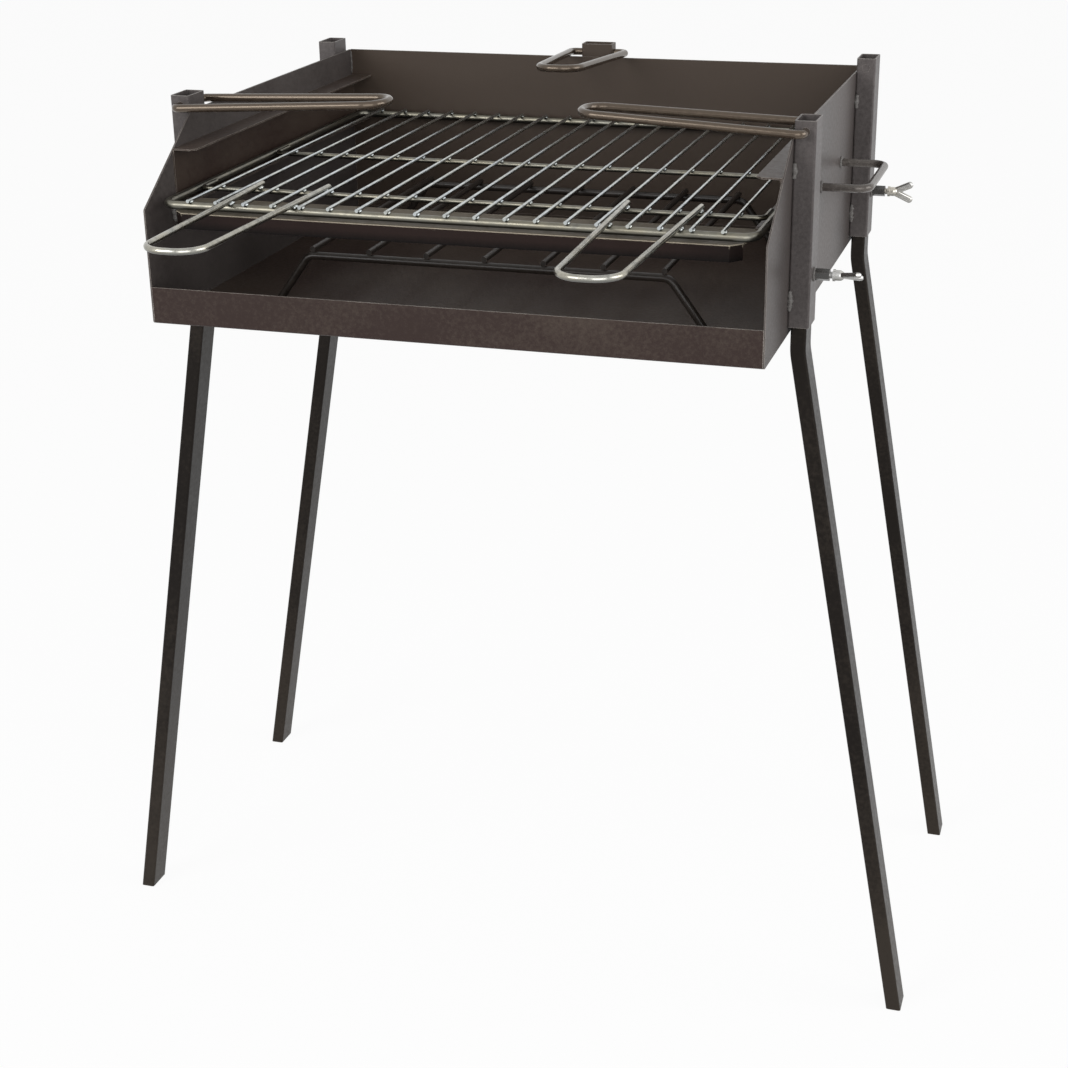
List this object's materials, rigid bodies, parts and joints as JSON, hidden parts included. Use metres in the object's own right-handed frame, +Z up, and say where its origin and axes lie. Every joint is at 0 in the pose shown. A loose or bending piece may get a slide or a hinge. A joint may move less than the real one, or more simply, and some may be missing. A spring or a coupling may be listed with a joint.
{
  "type": "charcoal barbecue",
  "caption": "Open sheet-steel charcoal barbecue on splayed tube legs, with swing-out pan supports, a pull-out wire grill with handles and a loose charcoal grate.",
  "frame": {"origin": "centre of the bounding box at floor level", "axes": "+X to the viewer's right, -Y the open front, +Z up"},
  "size_m": [0.8912, 0.725, 0.9331],
  "materials": {
    "body_paint": "satin anthracite paint",
    "leg_paint": "satin anthracite paint",
    "rod_paint": "satin brown-black paint",
    "grate_paint": "satin black paint",
    "zinc_wire": "bright zinc",
    "zinc_screw": "bright zinc"
  },
  "bodies": {
    "fire_box": {"trough": "body_paint", "left_side_wall": "body_paint", "right_side_wall": "body_paint", "left_front_sleeve": "body_paint", "right_front_sleeve": "body_paint", "left_rear_sleeve": "body_paint", "right_rear_sleeve": "body_paint", "rear_support_block": "body_paint", "left_shelf_channel": "body_paint", "right_shelf_channel": "body_paint", "front_ledge": "body_paint", "left_front_clamp_nut": "body_paint", "right_front_clamp_nut": "body_paint", "left_rear_clamp_nut": "body_paint", "right_rear_clamp_nut": "body_paint", "left_carry_handle": "rod_paint", "right_carry_handle": "rod_paint"},
    "grill": {"grill_frame": "zinc_wire", "grill_cross_bars": "zinc_wire", "grill_wires": "zinc_wire", "grill_left_handle": "zinc_wire", "grill_right_handle": "zinc_wire"},
    "charcoal_grate": {"grate_front_rod": "grate_paint", "grate_rear_rod": "grate_paint", "grate_cross_rods": "grate_paint"},
    "left_front_leg": {"left_front_leg": "leg_paint"},
    "right_front_leg": {"right_front_leg": "leg_paint"},
    "left_rear_leg": {"left_rear_leg": "leg_paint"},
    "right_rear_leg": {"right_rear_leg": "leg_paint"},
    "left_front_wing_screw": {"left_front_wing_screw": "zinc_screw"},
    "right_front_wing_screw": {"right_front_wing_screw": "zinc_screw"},
    "left_rear_wing_screw": {"left_rear_wing_screw": "zinc_screw"},
    "right_rear_wing_screw": {"right_rear_wing_screw": "zinc_screw"},
    "left_pan_support": {"left_pan_support": "rod_paint"},
    "right_pan_support": {"right_pan_support": "rod_paint"},
    "rear_pan_support": {"rear_pan_support": "rod_paint"}
  },
  "joints": [
    {"name": "left_pan_support_swing", "type": "hinge", "parent": "fire_box", "child": "left_pan_support", "pos_m": [-0.31, -0.0555, 0.91987], "axis": [0, -1, 0], "range_deg": [0, 264]},
    {"name": "right_pan_support_swing", "type": "hinge", "parent": "fire_box", "child": "right_pan_support", "pos_m": [0.31, -0.0555, 0.91987], "axis": [0, 1, 0], "range_deg": [0, 264]},
    {"name": "rear_pan_support_swing", "type": "hinge", "parent": "fire_box", "child": "rear_pan_support", "pos_m": [0, 0.3525, 0.91987], "axis": [-1, 0, 0], "range_deg": [0, 264]},
    {"name": "grill_pull_out", "type": "slide", "parent": "fire_box", "child": "grill", "axis": [0, -1, 0], "range_m": [0, 0.22]},
    {"name": "charcoal_grate_lift", "type": "slide", "parent": "fire_box", "child": "charcoal_grate", "axis": [0, 0, 1], "range_m": [0, 0.045]},
    {"name": "left_front_leg_slide", "type": "slide", "parent": "fire_box", "child": "left_front_leg", "axis": [0, 0, -1], "range_m": [0, 0.12]},
    {"name": "right_front_leg_slide", "type": "slide", "parent": "fire_box", "child": "right_front_leg", "axis": [0, 0, -1], "range_m": [0, 0.12]},
    {"name": "left_rear_leg_slide", "type": "slide", "parent": "fire_box", "child": "left_rear_leg", "axis": [0, 0, -1], "range_m": [0, 0.12]},
    {"name": "right_rear_leg_slide", "type": "slide", "parent": "fire_box", "child": "right_rear_leg", "axis": [0, 0, -1], "range_m": [0, 0.12]},
    {"name": "left_front_wing_screw_turn", "type": "hinge", "parent": "fire_box", "child": "left_front_wing_screw", "pos_m": [-0.32, -0.0555, 0.786], "axis": [-1, 0, 0], "continuous": true},
    {"name": "right_front_wing_screw_turn", "type": "hinge", "parent": "fire_box", "child": "right_front_wing_screw", "pos_m": [0.32, -0.0555, 0.786], "axis": [1, 0, 0], "continuous": true},
    {"name": "left_rear_wing_screw_turn", "type": "hinge", "parent": "fire_box", "child": "left_rear_wing_screw", "pos_m": [-0.32, 0.3145, 0.786], "axis": [-1, 0, 0], "continuous": true},
    {"name": "right_rear_wing_screw_turn", "type": "hinge", "parent": "fire_box", "child": "right_rear_wing_screw", "pos_m": [0.32, 0.3145, 0.786], "axis": [1, 0, 0], "continuous": true}
  ]
}
